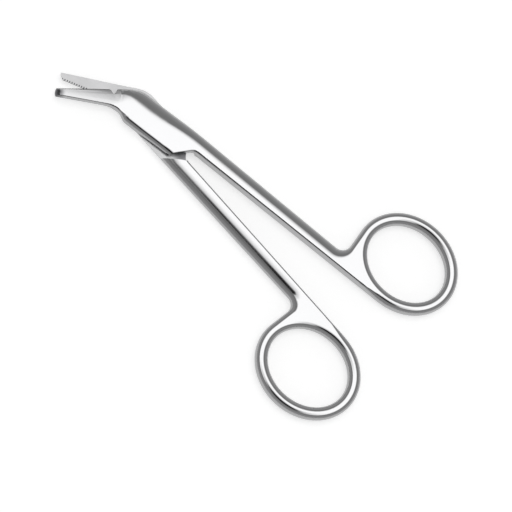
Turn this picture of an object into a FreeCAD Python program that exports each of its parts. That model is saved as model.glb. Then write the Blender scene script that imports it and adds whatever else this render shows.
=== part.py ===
import FreeCAD, Part
import math
import os

# Wire cutting scissors: two forged halves that cross at a pivot screw.
# Everything is drawn with the blades closed. The pivot axis is the Z axis, the shear plane
# between the halves is z = 0, and the finger rings lie towards +X.
# The front half carries the plain blade and the ring on the +Y side, the back half the
# serrated blade and the ring on the -Y side. At the end both turn to the resting pose
# and move up, so that they lie on z = 0.

doc = FreeCAD.newDocument("wire_scissors")
sheet = doc.addObject("Spreadsheet::Sheet", "sizes")

SIZES = {
    # the forging as a whole
    "thickness": 3.9,
    "lap_gap": 0.04,
    "rest_opening": 9.9,
    # finger rings: outer outline, its lean, the band and its rounding
    "ring_start": 63.5,
    "ring_gap": 0.18,
    "ring_long": 15.4,
    "ring_short": 13.4,
    "ring_lean": -5.7,
    "ring_band": 3.55,
    "ring_flank": 1.6,
    "hole_round": 1.75,
    # how late the flanks, the blades' crowns and the rims turn down: 1 is an ellipse
    "flank_fullness": 1.3,
    "blade_fullness": 2.6,
    "rim_fullness": 2.0,
    "rim_round": 0.3,
    # shanks: inner wall, outer edge at both ends, width of the rounded flank
    "wall_offset": 0.4,
    "wall_start": 17.4,
    "wall_lead": 8.0,
    "shank_start": 14.2,
    "shank_near": 5.3,
    "shank_far": 4.58,
    "shank_flank": 3.7,
    "corner_radius": 2.8,
    "ring_join": 188.0,
    "ring_leave": -78.0,
    # joint plates
    "plate_start": -4.6,
    "plate_top": 4.88,
    "plate_corner_x": 9.45,
    "plate_corner_y": 5.12,
    "plate_peak_x": 13.4,
    "plate_peak_y": 0.6,
    "plate_crown": 6.2,
    "plate_flank": 1.3,
    "heel_x": -5.2,
    "heel_y": 5.42,
    "heel_flank": 1.6,
    "heel_root_x": -8.8,
    "heel_root_y": 4.28,
    "heel_root_flank": 0.46,
    "shoulder_gap": 0.3,
    "shoulder_flare": 0.6,
    # jaws
    "cut_root_x": -11.9,
    "cut_root_y": 1.1,
    "cut_angle": 38.4,
    "cut_length": 17.5,
    "cut_rise": 0.3,
    "spine_root_x": -13.6,
    "spine_root_y": -5.68,
    "spine_angle": 29.8,
    "tip_skew": -0.15,
    "tip_bulge": 0.6,
    "nose_length": 1.5,
    "root_crown": 4.0,
    "tip_crown": 1.7,
    "spine_break": 0.1,
    "serrated_length": 18.1,
    "serrated_skew": -1.4,
    "serrated_belly": 0.55,
    "serrated_rise": 0.12,
    "bevel_land": 0.35,
    "bevel_angle": 63.0,
    # wire notch in the plain blade
    "notch_place": 1.95,
    "notch_width": 2.3,
    "notch_depth": 1.65,
    "notch_round": 0.42,
    # serrations of the other blade
    "tooth_pitch": 0.7,
    "tooth_width": 0.5,
    "tooth_depth": 0.24,
    "tooth_start": 0.15,
    "tooth_run": 11.2,
    # pivot screw
    "screw_head": 4.8,
    "screw_land": 0.15,
    "screw_sink": 0.22,
    "screw_shaft": 2.8,
    "screw_play": 0.03,
    "head_play": 0.05,
    "thread_size": 2.2,
    "thread_depth": 1.3,
    "thread_floor": 0.06,
    "slot_width": 0.7,
    "slot_depth": 0.5,
}
for row, (alias, number) in enumerate(SIZES.items(), start=1):
    sheet.set("A%d" % row, alias)
    sheet.set("B%d" % row, "%g" % number)
    sheet.setAlias("B%d" % row, alias)
doc.recompute()


def size(alias):
    return float(sheet.get(alias))


HALF = size("thickness") / 2
FRONT = 1
BACK = -1


def point(x, y):
    return FreeCAD.Vector(x, y, 0)


def heading(degrees):
    return point(math.cos(math.radians(degrees)), math.sin(math.radians(degrees)))


def left_of(direction):
    return point(-direction.y, direction.x)


def line(start, end):
    return Part.LineSegment(start, end).toShape()


def curve(start, leaving, end, arriving, grip=0.4):
    """A smooth bend that leaves start in one direction and arrives at end in another."""
    reach = (end - start).Length * grip
    bend = Part.BezierCurve()
    bend.setPoles([start, start + leaving * reach, end - arriving * reach, end])
    return bend.toShape()


def meet(first, along, second, across):
    """Where two straight lines cross."""
    normal = left_of(across)
    return first + along * ((second - first).dot(normal) / along.dot(normal))


def drawn(alias, fraction, fullness="flank_fullness"):
    """How far a rounded edge of this width draws in at a level; fuller edges turn down later."""
    return size(alias) * fraction ** size(fullness)


class Ring:
    """The outer outline of the finger ring on the +Y side, drawn in by an inset."""

    def __init__(self, inset=0):
        self.long = size("ring_long") - inset
        self.short = size("ring_short") - inset
        self.axis = heading(size("ring_lean"))
        drop = math.hypot(self.axis.x * size("ring_short"), self.axis.y * size("ring_long"))
        self.centre = point(size("ring_start") + size("ring_long"), size("ring_gap") + drop)

    def at(self, degrees):
        turn = math.radians(degrees)
        side = left_of(self.axis) * (self.short * math.sin(turn))
        return self.centre + self.axis * (self.long * math.cos(turn)) + side

    def tangent(self, degrees):
        turn = math.radians(degrees)
        side = left_of(self.axis) * (self.short * math.cos(turn))
        return (side - self.axis * (self.long * math.sin(turn))).normalize()

    def arc(self, first, last):
        ahead = self.axis * self.long
        aside = left_of(self.axis) * self.short
        if self.long < self.short:
            ahead, aside = aside, ahead * -1
            first, last = first - 90, last - 90
        ellipse = Part.Ellipse(self.centre + ahead, self.centre + aside, self.centre)
        return ellipse.toShape(math.radians(first), math.radians(last))


def corner_edges(touch, way, shank_end, shank_start, radius):
    """The concave corner between a ring and its shank, as line, arc and line."""
    shank_way = (shank_start - shank_end).normalize()
    crossing = meet(touch, way, shank_end, shank_way)
    turn = way.getAngle(shank_way)
    on_ring = crossing - way * (radius * math.tan(turn / 2))
    on_shank = crossing + shank_way * (radius * math.tan(turn / 2))
    inward = ((on_ring + on_shank) * 0.5 - crossing).normalize()
    on_arc = crossing + inward * (radius / math.cos(turn / 2) - radius)
    return [
        line(touch, on_ring),
        Part.Arc(on_ring, on_arc, on_shank).toShape(),
        line(on_shank, shank_start),
    ]


def plate_end(fraction):
    """The plate end on the -Y side, from its outer corner to its peak in the crotch."""
    corner = point(size("plate_corner_x"), -size("plate_corner_y"))
    peak = point(size("plate_peak_x"), -size("plate_peak_y"))
    end = peak - corner
    rim = left_of(end).normalize() * drawn("rim_round", fraction, "rim_fullness")
    return corner + end * (drawn("plate_flank", fraction) / end.y) + rim, peak + rim


def handle_edges(fraction):
    """Plate end, crotch, inner wall, ring, corner and shank of the half with its ring at +Y."""
    corner, peak = plate_end(fraction)
    wall = size("wall_offset") + drawn("rim_round", fraction, "rim_fullness")
    wall_start = point(size("wall_start"), wall)
    wall_end = point(size("ring_start") + size("wall_lead"), wall)
    along_wall = point(1, 0)
    ring = Ring(drawn("ring_flank", fraction))
    leave = size("ring_leave")
    join = size("ring_join")
    flank = drawn("shank_flank", fraction)
    shank_start = point(size("shank_start"), size("shank_near") - flank)
    shank_end = point(size("ring_start"), size("shank_far") - flank)
    radius = size("corner_radius") + drawn("ring_flank", fraction)
    return [
        line(corner, peak),
        curve(peak, (peak - corner).normalize(), wall_start, along_wall),
        line(wall_start, wall_end),
        curve(wall_end, along_wall, ring.at(leave), ring.tangent(leave)),
        ring.arc(leave, join),
        *corner_edges(ring.at(join), ring.tangent(join), shank_end, shank_start, radius),
    ]


def jaw_edges(fraction, side):
    """Plate and jaw from the +Y end of the plate round the tip to its -Y end."""
    cutting = side == FRONT
    cut_way = heading(size("cut_angle"))
    spine_way = heading(size("spine_angle"))
    toward_rings = point(1, 0)
    shank = drawn("shank_flank", fraction)
    plate = drawn("plate_flank", fraction)
    crown = drawn("plate_crown", fraction)
    root = drawn("root_crown", fraction, "blade_fullness")
    tip = drawn("tip_crown", fraction, "blade_fullness")
    spine = drawn("spine_break", fraction)
    heel = drawn("heel_flank", fraction)
    heel_root = drawn("heel_root_flank", fraction)
    upper = [crown, root, tip] if cutting else [plate, spine, spine]
    lower = [heel, heel_root, spine, spine] if cutting else [crown, root, root, tip]

    shank_end = point(size("shank_start"), size("shank_near") - shank)
    plate_corner = plate_end(fraction)[0]
    plate_corner.y *= -1
    a_end, b_end = (shank_end, plate_corner) if cutting else (plate_corner, shank_end)
    b_end.y *= -1
    shank_fall = size("shank_near") - size("shank_far")
    shank_way = point(size("ring_start") - size("shank_start"), -shank_fall).normalize()
    top_way = shank_way if cutting else toward_rings
    low_way = toward_rings if cutting else point(shank_way.x, -shank_way.y)

    cut_root = point(size("cut_root_x"), size("cut_root_y"))
    spine_root = point(size("spine_root_x"), size("spine_root_y"))
    cut_tip = cut_root - cut_way * size("cut_length" if cutting else "serrated_length")
    tip_skew = size("tip_skew") if cutting else size("serrated_skew")
    tip_run = (spine_root - cut_tip).dot(spine_way) + tip_skew
    spine_tip = spine_root - spine_way * tip_run
    if not cutting:
        cut_tip += left_of(cut_way) * size("serrated_rise")
        spine_tip += left_of(spine_way) * size("serrated_belly")
        spine_way = (spine_root - spine_tip).normalize()
    nose = fraction * size("nose_length")
    rise = size("cut_rise") if cutting else 0

    a_start = point(size("plate_start"), size("plate_top") - upper[0])
    a_root = cut_root + left_of(cut_way) * (rise - upper[1])
    a_tip = cut_tip - left_of(cut_way) * upper[2] + cut_way * nose
    b_tip = spine_tip + left_of(spine_way) * lower[3] + spine_way * nose
    b_root = spine_root + left_of(spine_way) * lower[2]
    b_heel = point(size("heel_root_x"), -size("heel_root_y") + lower[1])
    b_start = point(size("heel_x"), -size("heel_y") + lower[0])
    cut_line = (a_root - a_tip).normalize()
    spine_line = (b_root - b_tip).normalize()
    bulge = size("tip_bulge") / (a_tip - b_tip).Length
    return [
        curve(a_end, top_way * -1, a_start, toward_rings * -1),
        curve(a_start, toward_rings * -1, a_root, cut_line * -1),
        line(a_root, a_tip),
        curve(a_tip, cut_line * -1, b_tip, spine_line, bulge),
        line(b_tip, b_root),
        curve(b_root, spine_line, b_heel, toward_rings),
        curve(b_heel, toward_rings, b_start, toward_rings),
        curve(b_start, toward_rings, b_end, low_way),
    ]


def outline(side, fraction):
    """The closed outline of one half, its rounded edges drawn in by a fraction of their width."""
    handle = handle_edges(fraction)
    jaw = jaw_edges(fraction, side)
    if side == FRONT:
        return Part.Wire(handle + jaw)
    mirrored = [edge.mirror(point(0, 0), point(0, 1)) for edge in handle]
    return Part.Wire(mirrored + jaw[::-1])


# The flanks of the forgings are rounded: level 0 is the outline in the shear plane, and the
# outlines draw in towards the flat top and bottom. They are ruled from level to level, close
# enough together that the facets stay within 0.03 mm of the round.
LEVELS = range(-90, 91, 15)


def through_levels(name, shape_at):
    """A solid through one section for each level; shape_at takes how far it draws in, 0 to 1."""
    sections = []
    for number, level in enumerate(LEVELS):
        turn = math.radians(level)
        section = doc.addObject("Part::Feature", "%s_section_%d" % (name, number))
        section.Shape = shape_at(1 - math.cos(turn))
        section.Placement.Base.z = HALF * math.sin(turn)
        sections.append(section)
    loft = doc.addObject("Part::Loft", name)
    loft.Sections = sections
    loft.Solid = True
    loft.Ruled = True
    return loft


def forging(side, name):
    return through_levels(name, lambda fraction: outline(side, fraction))


def finger_hole(side, name):
    """The oval hole that leaves the ring its band; it widens towards both faces."""

    def oval(fraction):
        edge = Ring(size("ring_band") - drawn("hole_round", fraction)).arc(0, 360)
        return Part.Wire(edge if side == FRONT else edge.mirror(point(0, 0), point(0, 1)))

    return through_levels(name, oval)


def prism(name, plan, bottom, height):
    """A cutter: a closed plan outline raised from bottom by height."""
    base = doc.addObject("Part::Feature", name + "_plan")
    base.Shape = Part.Face(Part.Wire(plan))
    base.Placement.Base.z = bottom
    raised = doc.addObject("Part::Extrusion", name)
    raised.Base = base
    raised.DirMode = "Custom"
    raised.Dir = FreeCAD.Vector(0, 0, 1)
    raised.Solid = True
    raised.LengthFwd = height
    return raised


def polygon(corners):
    return [line(start, end) for start, end in zip(corners, corners[1:] + corners[:1])]


def cut(base, tool, name):
    result = doc.addObject("Part::Cut", name)
    result.Base = base
    result.Tool = tool
    return result


def join(pieces, name):
    result = doc.addObject("Part::MultiFuse", name)
    result.Shapes = pieces
    return result


def rod(name, diameter, height, bottom):
    """An upright round on the pivot axis; the sizes are expressions on the sheet."""
    shape = doc.addObject("Part::Cylinder", name)
    shape.setExpression("Radius", "(%s) / 2" % diameter)
    shape.setExpression("Height", height)
    shape.setExpression("Placement.Base.z", bottom)
    return shape


def taper(name, low, high, height, bottom):
    shape = doc.addObject("Part::Cone", name)
    shape.setExpression("Radius1", "(%s) / 2" % low)
    shape.setExpression("Radius2", "(%s) / 2" % high)
    shape.setExpression("Height", height)
    shape.setExpression("Placement.Base.z", bottom)
    return shape


MARGIN = 1.0
FAR = 60.0


def lap(side, name):
    """Everything past the shear plane from the jaw to the shoulder."""
    corner = point(size("plate_corner_x"), size("plate_corner_y"))
    peak = point(size("plate_peak_x"), size("plate_peak_y"))
    clear = left_of((peak - corner).normalize())
    seat = corner + clear * size("shoulder_gap")
    way = (peak + clear * (size("shoulder_gap") + size("shoulder_flare")) - seat).normalize()
    inner = meet(seat, way, point(0, size("wall_offset")), point(1, 0))
    outer = seat - way * FAR
    crotch = point(size("wall_start"), size("wall_offset"))
    corners = [inner, outer, point(-FAR, outer.y), point(-FAR, -FAR), point(crotch.x, -FAR), crotch]
    corners = [point(corner.x, side * corner.y) for corner in corners]
    depth = HALF + MARGIN + size("lap_gap") / 2
    return prism(name, polygon(corners), -HALF - MARGIN if side == FRONT else -size("lap_gap") / 2, depth)


def bevel(start, way, inward, length, side, name):
    """The ground facet along a cutting edge, from start along way."""
    slope = math.tan(math.radians(size("bevel_angle")))
    land = size("bevel_land")
    top = HALF + MARGIN
    low = start - inward * MARGIN + FreeCAD.Vector(0, 0, side * (land - slope * MARGIN))
    outer = start - inward * MARGIN + FreeCAD.Vector(0, 0, side * top)
    inner = start + inward * ((top - land) / slope) + FreeCAD.Vector(0, 0, side * top)
    section = doc.addObject("Part::Feature", name + "_section")
    section.Shape = Part.Face(Part.Wire(polygon([low, outer, inner])))
    facet = doc.addObject("Part::Extrusion", name)
    facet.Base = section
    facet.DirMode = "Custom"
    facet.Dir = way
    facet.Solid = True
    facet.LengthFwd = length
    return facet


def cutting_edge(side):
    """The tip end, the root end and the direction of a half's cutting edge."""
    edge = jaw_edges(0, side)[2 if side == FRONT else 4]
    tip, root = sorted((vertex.Point for vertex in edge.Vertexes), key=lambda end: end.x)
    return tip, root, (root - tip).normalize()


def notch(name):
    """The wire notch: a V with a round floor, square to the cutting edge."""
    root, way = cutting_edge(FRONT)[1:]
    inward = left_of(way) * -1
    mouth = root - way * size("notch_place")
    radius = size("notch_round")
    wide = size("notch_width") / 2
    deep = size("notch_depth") - radius
    reach = math.hypot(wide, deep)
    swing = math.atan2(deep, wide) + math.asin(radius / reach)
    run = math.sqrt(reach**2 - radius**2)

    def place(along, depth):
        return mouth + way * along + inward * depth

    touch_x = -wide + run * math.cos(swing)
    touch_y = run * math.sin(swing)
    open_x = -wide - MARGIN * math.cos(swing) / math.sin(swing)
    left, right = place(touch_x, touch_y), place(-touch_x, touch_y)
    floor = place(0, size("notch_depth"))
    plan = [
        line(place(open_x, -MARGIN), left),
        Part.Arc(left, floor, right).toShape(),
        line(right, place(-open_x, -MARGIN)),
        line(place(-open_x, -MARGIN), place(open_x, -MARGIN)),
    ]
    return prism(name, plan, -MARGIN, HALF + 2 * MARGIN)


def serrations(name):
    """A row of small V grooves across the edge of the back blade."""
    tip, root, way = cutting_edge(BACK)
    inward = left_of(way)
    pitch = size("tooth_pitch")
    half_width = size("tooth_width") / 2
    depth = size("tooth_depth")
    grooves = []
    for number in range(int(size("tooth_run") / pitch)):
        middle = tip + way * (size("tooth_start") + number * pitch)
        widen = 2 * half_width
        mouth = middle - inward * depth
        plan = polygon([mouth - way * widen, middle + inward * depth, mouth + way * widen])
        grooves.append(prism("%s_%d" % (name, number + 1), plan, -HALF - MARGIN, HALF + 2 * MARGIN))
    return grooves


def pivot_screw():
    """Slotted countersunk screw; its thread ends in a blind hole of the front half."""
    bottom = "-sizes.thickness / 2 + sizes.screw_sink"
    cone = "(sizes.screw_head - sizes.screw_shaft) / 2"
    head = rod("screw_head", "sizes.screw_head", "sizes.screw_land", bottom)
    neck = taper("screw_neck", "sizes.screw_head", "sizes.screw_shaft", cone,
                 bottom + " + sizes.screw_land")
    shaft_bottom = bottom + " + sizes.screw_land + " + cone
    shaft = rod("screw_shaft", "sizes.screw_shaft", "sizes.lap_gap / 2 - (%s)" % shaft_bottom,
                shaft_bottom)
    thread = rod("screw_thread", "sizes.thread_size", "sizes.thread_depth", "sizes.lap_gap / 2")
    slot = doc.addObject("Part::Box", "screw_slot")
    slot.setExpression("Length", "sizes.screw_head + 2")
    slot.setExpression("Width", "sizes.slot_width")
    slot.setExpression("Height", "sizes.slot_depth + 1")
    slot.setExpression("Placement.Base.x", "-sizes.screw_head / 2 - 1")
    slot.setExpression("Placement.Base.y", "-sizes.slot_width / 2")
    slot.setExpression("Placement.Base.z", bottom + " - 1")
    body = join([head, neck, shaft, thread], "screw_body")
    return cut(body, slot, "screw")


def front_half():
    blank = cut(forging(FRONT, "front_blank"), finger_hole(FRONT, "front_hole"), "front_ring")
    tip, root, way = cutting_edge(FRONT)
    length = root.distanceToPoint(tip) + 12 * MARGIN
    edge = bevel(tip - way * 3 * MARGIN, way, left_of(way) * -1, length, FRONT, "cutting_bevel")
    tapped = rod("tapped_hole", "sizes.thread_size", "sizes.thread_depth + sizes.thread_floor + 1",
                 "sizes.lap_gap / 2 - 1")
    tools = join([lap(FRONT, "front_lap"), edge, notch("wire_notch"), tapped], "front_tools")
    return cut(blank, tools, "front")


def back_half():
    blank = cut(forging(BACK, "back_blank"), finger_hole(BACK, "back_hole"), "back_ring")
    tip, root, way = cutting_edge(BACK)
    length = size("tooth_start") + size("tooth_run")
    edge = bevel(tip - way * 3 * MARGIN, way, left_of(way), length + 3 * MARGIN, BACK, "serrated_bevel")
    bore = rod("pivot_bore", "sizes.screw_shaft + 2 * sizes.screw_play", "sizes.thickness", "-sizes.thickness")
    floor = "-sizes.thickness / 2"
    wide = "sizes.screw_head + 2 * sizes.head_play"
    narrow = "sizes.screw_shaft + 2 * sizes.screw_play"
    seat = rod("head_seat", wide, "sizes.screw_sink + sizes.screw_land + 1", floor + " - 1")
    sink = taper("head_sink", wide, narrow, "(%s - (%s)) / 2" % (wide, narrow),
                 floor + " + sizes.screw_sink + sizes.screw_land")
    tools = [lap(BACK, "back_lap"), edge, bore, seat, sink, *serrations("serration")]
    return cut(blank, join(tools, "back_tools"), "back")


def settle(piece, side, label):
    """Turns a piece from the closed to the resting pose and lays it on z = 0."""
    piece.Label = label
    piece.setExpression("Placement.Base.z", "sizes.thickness / 2")
    piece.Placement.Rotation = FreeCAD.Rotation(
        FreeCAD.Vector(0, 0, 1), side * size("rest_opening") / 2)
    return piece


pieces = [
    settle(front_half(), FRONT, "front_half"),
    settle(back_half(), BACK, "back_half"),
    settle(pivot_screw(), FRONT, "pivot_screw"),
]
doc.recompute()
for item in doc.Objects:
    if "Invalid" in item.State or "Error" in item.State:
        raise RuntimeError("%s: %s" % (item.Label, item.State))
os.makedirs("parts", exist_ok=True)
for piece in pieces:
    shape = piece.Shape
    if shape.isNull() or not shape.isValid() or len(shape.Solids) != 1:
        raise RuntimeError("%s is not one sound solid" % piece.Label)
    shape.exportStep("parts/%s.step" % piece.Label)
    print(piece.Label, round(shape.Volume, 2), shape.BoundBox)
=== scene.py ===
import math

import bmesh
import bpy
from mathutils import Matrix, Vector


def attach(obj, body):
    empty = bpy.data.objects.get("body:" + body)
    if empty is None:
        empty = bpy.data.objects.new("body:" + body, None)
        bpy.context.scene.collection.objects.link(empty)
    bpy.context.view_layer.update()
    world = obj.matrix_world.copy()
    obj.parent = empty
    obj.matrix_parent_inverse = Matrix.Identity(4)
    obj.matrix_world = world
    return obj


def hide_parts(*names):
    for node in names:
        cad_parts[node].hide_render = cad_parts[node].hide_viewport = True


# Wire cutting scissors in polished steel, lying on a white table in a light tent.
# Lengths are in metres and angles in degrees.

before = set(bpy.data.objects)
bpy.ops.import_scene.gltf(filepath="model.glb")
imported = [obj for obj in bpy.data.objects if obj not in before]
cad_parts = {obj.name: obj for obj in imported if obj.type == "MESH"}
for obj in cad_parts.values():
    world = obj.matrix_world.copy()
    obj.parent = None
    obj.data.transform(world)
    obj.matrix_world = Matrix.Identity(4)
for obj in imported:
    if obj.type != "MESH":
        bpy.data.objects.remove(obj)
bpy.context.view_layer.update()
print("frame loaded")


def join(tree, source, socket):
    # a socket takes a link from another node, or else a plain value
    if isinstance(source, bpy.types.NodeSocket):
        tree.links.new(source, socket)
    else:
        socket.default_value = source


def addNode(tree, kind, place, sockets=None, **settings):
    made = tree.nodes.new(kind)
    made.location = place
    for name, value in settings.items():
        setattr(made, name, value)
    for name, source in (sockets or {}).items():
        join(tree, source, made.inputs[name])
    return made


def addMath(tree, place, operation, *sources):
    sockets = dict(enumerate(sources))
    return addNode(tree, "ShaderNodeMath", place, sockets, operation=operation).outputs[0]


def addFade(tree, place, source, edges, ends=(0, 1)):
    # goes smoothly from the first end to the second between the two edges
    fade = addNode(tree, "ShaderNodeMapRange", place, {
        "Value": source,
        "From Min": edges[0],
        "From Max": edges[1],
        "To Min": ends[0],
        "To Max": ends[1],
    }, interpolation_type="SMOOTHSTEP")
    return fade.outputs["Result"]


def mixColours(tree, place, share, first, second):
    sockets = {"Factor": share, "A": first, "B": second}
    return addNode(tree, "ShaderNodeMix", place, sockets, data_type="RGBA").outputs["Result"]


def mixValues(tree, place, share, first, second):
    sockets = {0: share, 2: first, 3: second}
    return addNode(tree, "ShaderNodeMix", place, sockets, data_type="FLOAT").outputs[0]


def newMaterial(name):
    material = bpy.data.materials.new(name)
    material.use_nodes = True
    return material, material.node_tree, material.node_tree.nodes["Principled BSDF"]


def finishMetal(tree, shader, colour, roughness, relief, depth, height):
    bump = addNode(tree, "ShaderNodeBump", (-400, -300), {
        "Height": relief, "Strength": depth, "Distance": height,
    })
    join(tree, bump.outputs["Normal"], shader.inputs["Normal"])
    join(tree, colour, shader.inputs["Base Color"])
    join(tree, roughness, shader.inputs["Roughness"])
    shader.inputs["Metallic"].default_value = 1


# Forged steel: the flats are polished bright, the round flanks have a satin finish and a
# painted shade that darkens the steep faces. The grain runs along the blades and shanks. The
# nose of the plain blade has a painted dark spot, a painted shade.
forgedSteel = {
    "name": "forgedSteel",
    "light": (0.53, 0.53, 0.535, 1),
    "dark": (0.49, 0.49, 0.495, 1),
    "smoothest": 0.06,
    "roughest": 0.12,
    "cloudsPerMetre": 70,
    "cloudDetail": 4,
    "cloudRange": (0.35, 0.65),
    "grainStretch": (90, 1500, 1500),
    "grainDetail": 3,
    "grainDepth": 0.03,
    "grainHeight": 0.00005,
    "satinAndShade": (0.40, 0.40, 0.405, 1),
    "satinRoughness": 0.24,
    "satinLevel": (0.93, 0.70),  # how level a face is where satin and painted shade begin and are full
    # painted shade: a dark spot at the nose of the plain blade
    "paintedDarkAt": (-0.0233, -0.0129, 0.0030),
    "paintedDarkReach": (0.0023, 0.0007),  # where the painted dark spot ends and where it is full
    "paintedDark": (0.10, 0.10, 0.105, 1),
}

# The flat inner faces that slide on each other are ground but not polished. The corner of the
# lap has a painted dark spot, a painted shade.
groundSteel = {
    **forgedSteel,
    "name": "groundSteel",
    "light": (0.50, 0.50, 0.505, 1),
    "dark": (0.47, 0.47, 0.475, 1),
    "smoothest": 0.32,
    "roughest": 0.38,
    "cloudsPerMetre": 200,
    "grainStretch": (120, 3000, 3000),
    "grainDepth": 0.12,
    "satinAndShade": (0.48, 0.48, 0.485, 1),
    "satinRoughness": 0.35,
    # painted shade: a dark spot in the corner of the lap
    "paintedDarkAt": (0.0122, -0.0010, 0.00195),
    "paintedDarkReach": (0.0034, 0.0008),
    "paintedDark": (0.14, 0.14, 0.145, 1),
}

# The walls of the small grooves across the serrated edge are painted dark, a painted shade.
paintedGrooveShade = {
    **groundSteel,
    "name": "paintedGrooveShade",
    "light": (0.10, 0.10, 0.105, 1),
    "dark": (0.07, 0.07, 0.075, 1),
    "satinAndShade": (0.08, 0.08, 0.085, 1),
}

# The grooves stand in a row along the serrated edge, measured along it from the pivot.
# These values also place the painted shade: the dark dabs and the dark groove walls.
serrations = {
    "turn": 22.14,  # of the edge, seen from above
    "first": -0.02621,
    "pitch": 0.0007,
    "width": (0.0, 0.6),  # of the wave that makes the dabs, where a dab begins and is full
    "last": (-0.0150, -0.0153),
    "reach": (0.00175, 0.00150),  # from the pivot's line into the blade
    "colour": (0.04, 0.04, 0.045, 1),
    "allBefore": -0.014,
    "wallLevel": 0.3,  # the walls are steeper than this
    "wallFacing": (0.2, 0.93),  # least and most that a wall faces along the edge
}

# On the serrated half the inner face has a painted shade, a dark dab, round each groove.
serratedSteel = {**groundSteel, "name": "serratedSteel", "grooveShade": serrations}


def addGrooveShade(tree, place, grooveShade):
    # painted shade: a dark dab round each groove of the serrated edge
    turned = addNode(tree, "ShaderNodeMapping", (-1300, 1000), {
        "Vector": place, "Rotation": (0, 0, -math.radians(grooveShade["turn"])),
    })
    split = addNode(tree, "ShaderNodeSeparateXYZ", (-1100, 1000), {
        "Vector": turned.outputs["Vector"],
    })
    along, across = split.outputs["X"], split.outputs["Y"]
    start = addMath(tree, (-900, 1000), "SUBTRACT", along, grooveShade["first"])
    phase = addMath(tree, (-700, 1000), "MULTIPLY", start, 2 * math.pi / grooveShade["pitch"])
    wave = addMath(tree, (-500, 1000), "COSINE", phase)
    mask = addFade(tree, (-300, 1000), wave, grooveShade["width"])
    for row, source, edges in ((1200, along, grooveShade["last"]), (1400, across, grooveShade["reach"])):
        fade = addFade(tree, (-300, row), source, edges)
        mask = addMath(tree, (-100, row), "MULTIPLY", mask, fade)
    return mask


def makeSteel(look):
    material, tree, shader = newMaterial(look["name"])
    place = addNode(tree, "ShaderNodeTexCoord", (-1500, 0)).outputs["Object"]
    clouds = addNode(tree, "ShaderNodeTexNoise", (-1100, 200), {
        "Vector": place, "Scale": look["cloudsPerMetre"], "Detail": look["cloudDetail"],
    }).outputs["Fac"]
    colour = mixColours(tree, (-600, 250), clouds, look["dark"], look["light"])

    # satin finish on the round flanks, with a painted shade that darkens the steep faces
    slope = addNode(tree, "ShaderNodeNewGeometry", (-1300, 500))
    split = addNode(tree, "ShaderNodeSeparateXYZ", (-1100, 500), {
        "Vector": slope.outputs["Normal"],
    })
    level = addMath(tree, (-900, 500), "ABSOLUTE", split.outputs["Z"])
    flank = addFade(tree, (-700, 500), level, look["satinLevel"])
    colour = mixColours(tree, (-400, 350), flank, colour, look["satinAndShade"])

    # a painted dark spot at the place given in the look, a painted shade
    apart = addNode(tree, "ShaderNodeVectorMath", (-900, 750), {
        0: place, 1: look["paintedDarkAt"],
    }, operation="DISTANCE")
    near = addFade(tree, (-700, 750), apart.outputs["Value"], look["paintedDarkReach"])
    colour = mixColours(tree, (-200, 500), near, colour, look["paintedDark"])
    # painted shade round each groove, on the serrated half only
    if "grooveShade" in look:
        grooveShade = addGrooveShade(tree, place, look["grooveShade"])
        colour = mixColours(tree, (0, 500), grooveShade, colour, look["grooveShade"]["colour"])

    gloss = addNode(tree, "ShaderNodeMapRange", (-600, 0), {
        "Value": clouds,
        "From Min": look["cloudRange"][0],
        "From Max": look["cloudRange"][1],
        "To Min": look["smoothest"],
        "To Max": look["roughest"],
    }).outputs["Result"]
    roughness = mixValues(tree, (-400, 50), flank, gloss, look["satinRoughness"])
    stretch = addNode(tree, "ShaderNodeMapping", (-1100, -300), {
        "Vector": place, "Scale": look["grainStretch"],
    })
    grain = addNode(tree, "ShaderNodeTexNoise", (-800, -300), {
        "Vector": stretch.outputs["Vector"], "Scale": 1, "Detail": look["grainDetail"],
    })
    finishMetal(
        tree, shader, colour, roughness,
        grain.outputs["Fac"], look["grainDepth"], look["grainHeight"])
    return material


# The screw is turned, so its marks are rings round the pivot.
screwSteel = {
    "light": (0.50, 0.50, 0.505, 1),
    "dark": (0.42, 0.42, 0.425, 1),
    "roughness": 0.24,
    "ringsPerMetre": 4000,
    "ringWobble": 0.4,
    "ringDepth": 0.06,
    "ringHeight": 0.00005,
}


def makeScrewSteel(look):
    material, tree, shader = newMaterial("screwSteel")
    place = addNode(tree, "ShaderNodeTexCoord", (-900, 0)).outputs["Object"]
    rings = addNode(tree, "ShaderNodeTexWave", (-650, 0), {
        "Vector": place, "Scale": look["ringsPerMetre"], "Distortion": look["ringWobble"],
    }, wave_type="RINGS", rings_direction="Z").outputs["Fac"]
    tone = mixColours(tree, (-400, 150), rings, look["dark"], look["light"])
    finishMetal(
        tree, shader, tone, look["roughness"], rings, look["ringDepth"], look["ringHeight"])
    return material


polished = makeSteel(forgedSteel)
ground = makeSteel(groundSteel)
shadedGrooveWalls = makeSteel(paintedGrooveShade)
serrated = makeSteel(serratedSteel)
turnedSteel = makeScrewSteel(screwSteel)
print("materials made")


# A polished half: the solid's own form, shaded as one smooth surface from level to level.
polishing = {
    "weld": 0.000002,
    "halfThickness": 0.00195,
    "levelStep": 15,  # of the round flank, from level to level
    "levelBand": 0.000003,
    "calmAngle": 2.5,  # the facets of a smooth surface meet at less than this
    "crispAngle": 43,  # an edge sharper than this stays crisp
    "flatLevel": 0.9999,  # how far a flat face looks straight up or down
    "flatAngle": 5,
    "slidingBand": 0.00005,  # round the plane in which the halves meet
    "slidingLevel": 0.999,
    "rimWidth": 0.00018,
    "rimLift": 0.95,  # share of the half thickness, up or down from the middle
    "rimSlopes": (1, 85),
    "rimEnds": 12,  # a rim beside a gentler face than this is left as it is
    "rimFrom": 19,
    "rimFull": 26,
    "rimFaceLift": 0.9,
    "rimFaceSlopes": (3, 45),
    "rimLean": (12, 24),  # beside the flat, and lower down
}

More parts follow.
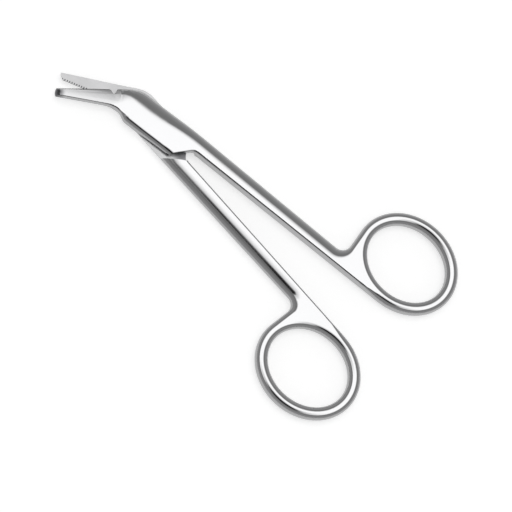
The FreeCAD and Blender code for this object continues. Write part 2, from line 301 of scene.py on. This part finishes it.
# The plain blade is hollow ground: its top falls from the spine towards the cutting edge.
hollow = {
    "spine": (-0.01184, -0.00585),  # a point on the spine
    "spineTurn": 34.8,
    "edgeTurn": 44.3,
    "begins": 0.0035,  # from the pivot towards the tip
    "full": 0.0105,
    "cuts": 8,
    "cutSlack": 0.000001,
    "top": 0.0039,
    "fall": 0.070,  # per metre from the spine, and growing by the next
    "deepening": 8.0,
}


def shareBetween(value, start, full):
    return max(0, min(1, (value - start) / (full - start)))


def slopeOf(normal):
    return math.degrees(math.acos(min(1, abs(normal.z))))


def sideways(normal):
    return Vector((normal.x, normal.y, 0)).normalized()


def towardTip(values):
    turn = math.radians(values["edgeTurn"])
    return Vector((-math.cos(turn), -math.sin(turn), 0))


def cutForHollow(shape, values):
    # cuts across the blade let its top fall in small steps
    outwards = towardTip(values)
    run = values["full"] - values["begins"]
    for number in range(values["cuts"]):
        reach = values["begins"] + run * number / (values["cuts"] - 1)
        bmesh.ops.bisect_plane(
            shape, geom=[*shape.verts, *shape.edges, *shape.faces], dist=values["cutSlack"],
            plane_co=outwards * reach, plane_no=outwards)


def grindHollow(shape, values):
    outwards = towardTip(values)
    turn = math.radians(values["spineTurn"])
    across = Vector((-math.sin(turn), math.cos(turn), 0))
    spine = Vector((*values["spine"], 0))
    for corner in shape.verts:
        share = shareBetween(corner.co.dot(outwards), values["begins"], values["full"])
        aside = max(0, (corner.co - spine).dot(across))
        drop = values["fall"] * aside + values["deepening"] * aside ** 2
        spare = drop - (values["top"] - corner.co.z)
        corner.co.z -= max(0, spare) * share * share * (3 - 2 * share)
    shape.normal_update()


def betweenLevels(corner, values):
    # a point inside one facet, on none of the levels that the facets run between
    height = max(-1, min(1, corner.co.z / values["halfThickness"] - 1))
    level = round(math.degrees(math.asin(height)) / values["levelStep"]) * values["levelStep"]
    place = values["halfThickness"] * (1 + math.sin(math.radians(level)))
    if abs(corner.co.z - place) < values["levelBand"]:
        return False
    calm = math.radians(values["calmAngle"])
    return all(
        len(edge.link_faces) == 2 and edge.calc_face_angle() < calm
        for edge in corner.link_edges)


def wearRims(shape, values):
    # the narrow rims beside the top and bottom flats are worn a little wider
    gentle, steep = values["rimSlopes"]
    moves = []
    for corner in shape.verts:
        lift = abs(corner.co.z - values["halfThickness"])
        if lift < values["rimLift"] * values["halfThickness"]:
            continue
        slopes = [(slopeOf(face.normal), face) for face in corner.link_faces]
        beside = [(slope, face) for slope, face in slopes if gentle < slope < steep]
        least = min((slope for slope, face in beside), default=0)
        if len(beside) == len(slopes) or least < values["rimEnds"]:
            continue
        out = Vector((0, 0, 0))
        most = 0
        for slope, face in beside:
            share = shareBetween(slope, values["rimFrom"], values["rimFull"])
            most = max(most, share)
            out += sideways(face.normal) * share * face.calc_area()
        if most > 0:
            moves.append((corner, out.normalized() * most * values["rimWidth"]))
    for corner, move in moves:
        corner.co -= move
    shape.normal_update()
    shape.verts.index_update()
    return {corner.index: move.length / values["rimWidth"] for corner, move in moves}


def chooseSteels(shape, values):
    # slot 0 is polished, slot 1 slides on the other half
    for face in shape.faces:
        lift = abs(face.calc_center_median().z - values["halfThickness"])
        sliding = lift < values["slidingBand"] and abs(face.normal.z) > values["slidingLevel"]
        face.material_index = int(sliding)


def chooseGrooves(shape, values):
    # slot 2 is the walls of the grooves, painted dark as a painted shade
    turn = math.radians(values["turn"])
    alongEdge = Vector((math.cos(turn), math.sin(turn), 0))
    least, most = values["wallFacing"]
    for face in shape.faces:
        steep = abs(face.normal.z) < values["wallLevel"]
        near = face.calc_center_median().x < values["allBefore"]
        if near and steep and least < abs(face.normal.dot(alongEdge)) < most:
            face.material_index = 2


def keepFlats(mesh, normals, flats, values):
    # beside a narrow rim the flats stay flat
    near = math.cos(math.radians(values["flatAngle"]))
    for polygon in mesh.polygons:
        if polygon.index in flats:
            for corner in polygon.loop_indices:
                if normals[corner].dot(polygon.normal) < near:
                    normals[corner] = polygon.normal.copy()


def roundRims(mesh, normals, worn, flats, values):
    # the light runs over a rim as over a round edge
    middle = values["halfThickness"]
    gentle, steep = values["rimFaceSlopes"]
    for polygon in mesh.polygons:
        share = max(worn.get(index, 0) for index in polygon.vertices)
        lift = min(abs(mesh.vertices[index].co.z - middle) for index in polygon.vertices)
        if polygon.index in flats or share == 0 or lift < values["rimFaceLift"] * middle:
            continue
        if not gentle < slopeOf(polygon.normal) < steep:
            continue
        side = sideways(polygon.normal)
        for corner in polygon.loop_indices:
            besideFlat = mesh.loops[corner].vertex_index in worn
            lean = math.radians(values["rimLean"][0 if besideFlat else 1])
            wanted = side * math.sin(lean)
            wanted.z = math.copysign(math.cos(lean), polygon.normal.z)
            normals[corner] = normals[corner].lerp(wanted, share).normalized()


def polishedHalf(nodeName, body, name, values, steels, grinding=None, grooves=None):
    shape = bmesh.new()
    shape.from_mesh(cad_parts[nodeName].data)
    bmesh.ops.remove_doubles(shape, verts=shape.verts, dist=values["weld"])
    if grinding:
        cutForHollow(shape, grinding)
    spare = [corner for corner in shape.verts if betweenLevels(corner, values)]
    bmesh.ops.dissolve_verts(shape, verts=spare)
    bmesh.ops.triangulate(shape, faces=shape.faces)
    shape.faces.index_update()
    flats = {face.index for face in shape.faces if abs(face.normal.z) > values["flatLevel"]}
    worn = wearRims(shape, values)
    if grinding:
        grindHollow(shape, grinding)
    chooseSteels(shape, values)
    if grooves:
        chooseGrooves(shape, grooves)
    for face in shape.faces:
        face.smooth = True
    crisp = math.radians(values["crispAngle"])
    for edge in shape.edges:
        edge.smooth = len(edge.link_faces) == 2 and edge.calc_face_angle() < crisp
    mesh = bpy.data.meshes.new(name)
    shape.to_mesh(mesh)
    shape.free()
    normals = [corner.vector.copy() for corner in mesh.corner_normals]
    keepFlats(mesh, normals, flats, values)
    roundRims(mesh, normals, worn, flats, values)
    mesh.normals_split_custom_set(normals)
    piece = bpy.data.objects.new(name, mesh)
    bpy.context.scene.collection.objects.link(piece)
    for steel in steels:
        mesh.materials.append(steel)
    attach(piece, body)
    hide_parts(nodeName)


polishedHalf(
    "front_half", "front", "plainHalf", polishing, (polished, ground), grinding=hollow)
polishedHalf(
    "back_half", "back", "serratedHalf", polishing, (polished, serrated, shadedGrooveWalls),
    grooves=serrations)
print("halves polished")

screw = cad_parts["pivot_screw"]
screw.data.materials.clear()
screw.data.materials.append(turnedSteel)
print("screw in place")


# The table is white to the camera and in the steel, and darkens where the object shades it.
table = {"width": 6.0, "colour": (0.75, 0.75, 0.75, 1), "ownWhite": 0.59}


def makeTable(values):
    shape = bmesh.new()
    bmesh.ops.create_grid(shape, x_segments=1, y_segments=1, size=values["width"] / 2)
    mesh = bpy.data.meshes.new("table")
    shape.to_mesh(mesh)
    shape.free()
    top = bpy.data.objects.new("table", mesh)
    bpy.context.scene.collection.objects.link(top)
    material, tree, shader = newMaterial("tableWhite")
    tree.nodes.remove(shader)
    path = addNode(tree, "ShaderNodeLightPath", (-900, 300)).outputs
    seen = addMath(
        tree, (-650, 350), "MAXIMUM", path["Is Camera Ray"], path["Is Glossy Ray"])
    seenThrough = addMath(
        tree, (-450, 300), "MAXIMUM", seen, path["Is Transmission Ray"])
    matt = addNode(tree, "ShaderNodeBsdfDiffuse", (-250, 100), {"Color": values["colour"]})
    white = addNode(tree, "ShaderNodeEmission", (-50, 250), {
        "Color": (1, 1, 1, 1),
        "Strength": addMath(
            tree, (-250, 300), "MULTIPLY", seenThrough, values["ownWhite"]),
    })
    both = addNode(tree, "ShaderNodeAddShader", (150, 100), {
        0: matt.outputs["BSDF"], 1: white.outputs["Emission"],
    })
    tree.links.new(both.outputs["Shader"], tree.nodes["Material Output"].inputs["Surface"])
    mesh.materials.append(material)


makeTable(table)
print("table set")


# The camera stands where the photographer's did, with a long lens.
camera = {
    "place": (0.0760328, -0.2079678, 0.6876039),
    "turn": (13.544, -9.4544, 42.7326),
    "lens": 184.61,
    "sensor": 36,
    "clip": (0.01, 50),
}


def makeCamera(values):
    lens = bpy.data.cameras.new("camera")
    lens.lens = values["lens"]
    lens.sensor_width = values["sensor"]
    lens.clip_start, lens.clip_end = values["clip"]
    stand = bpy.data.objects.new("camera", lens)
    stand.location = values["place"]
    stand.rotation_euler = [math.radians(angle) for angle in values["turn"]]
    bpy.context.scene.collection.objects.link(stand)
    bpy.context.scene.camera = stand
    bpy.context.view_layer.update()
    return stand


stand = makeCamera(camera)
print("camera placed")


# Light tent: a round white ceiling, grey walls, and the dark opening for the lens in its
# grey apron. Each edge is given where the inside is full and where it has faded out.
tent = {
    "ceiling": 1.92,
    "rim": 0.31,
    "walls": 0.55,
    "opening": 0.02,
    "openingLean": 2.5,
    "ceilingEdge": (21, 31),
    "openingEdge": (8.5, 14.5),
    "apron": 0.64,
    "apronEdge": (15, 24),
    "wallEdge": (34, 85),
    "ceilingLean": 4,
}


def makeTent(values, towardLens):
    world = bpy.data.worlds.new("lightTent")
    bpy.context.scene.world = world
    world.use_nodes = True
    tree = world.node_tree
    back = tree.nodes["Background"]
    place = addNode(tree, "ShaderNodeTexCoord", (-1300, 0)).outputs["Generated"]
    level = sideways(towardLens)
    lean = math.radians(values["ceilingLean"])
    middle = Vector((0, 0, math.cos(lean))) - level * math.sin(lean)
    height = math.acos(towardLens.z) - math.radians(values["openingLean"])
    towardOpening = Vector((0, 0, math.cos(height))) + level * math.sin(height)

    def within(axis, edge, row, ends=(0, 1)):
        facing = addNode(tree, "ShaderNodeVectorMath", (-1050, row), {
            0: place, 1: axis,
        }, operation="DOT_PRODUCT")
        angle = addMath(tree, (-850, row), "ARCCOSINE", facing.outputs["Value"])
        full, faded = map(math.radians, edge)
        return addFade(tree, (-650, row), angle, (faded, full), ends)

    ceiling = within(middle, values["ceilingEdge"], 200)
    rim = within(middle, values["wallEdge"], 400)
    opening = within(towardOpening, values["openingEdge"], -200)
    apron = within(towardOpening, values["apronEdge"], -400, (1, values["apron"]))
    walls = mixValues(tree, (-450, 400), rim, values["walls"], values["rim"])
    lit = mixValues(tree, (-300, 200), ceiling, walls, values["ceiling"])
    dimmed = addMath(tree, (-150, 0), "MULTIPLY", lit, apron)
    pierced = mixValues(tree, (0, 100), opening, dimmed, values["opening"])
    tree.links.new(pierced, back.inputs["Strength"])
    back.inputs["Color"].default_value = (1, 1, 1, 1)


towardLens = (stand.matrix_world.to_quaternion() @ Vector((0, 0, 1))).normalized()
makeTent(tent, towardLens)
bpy.context.scene.view_settings.view_transform = "Standard"
print("tent lit")
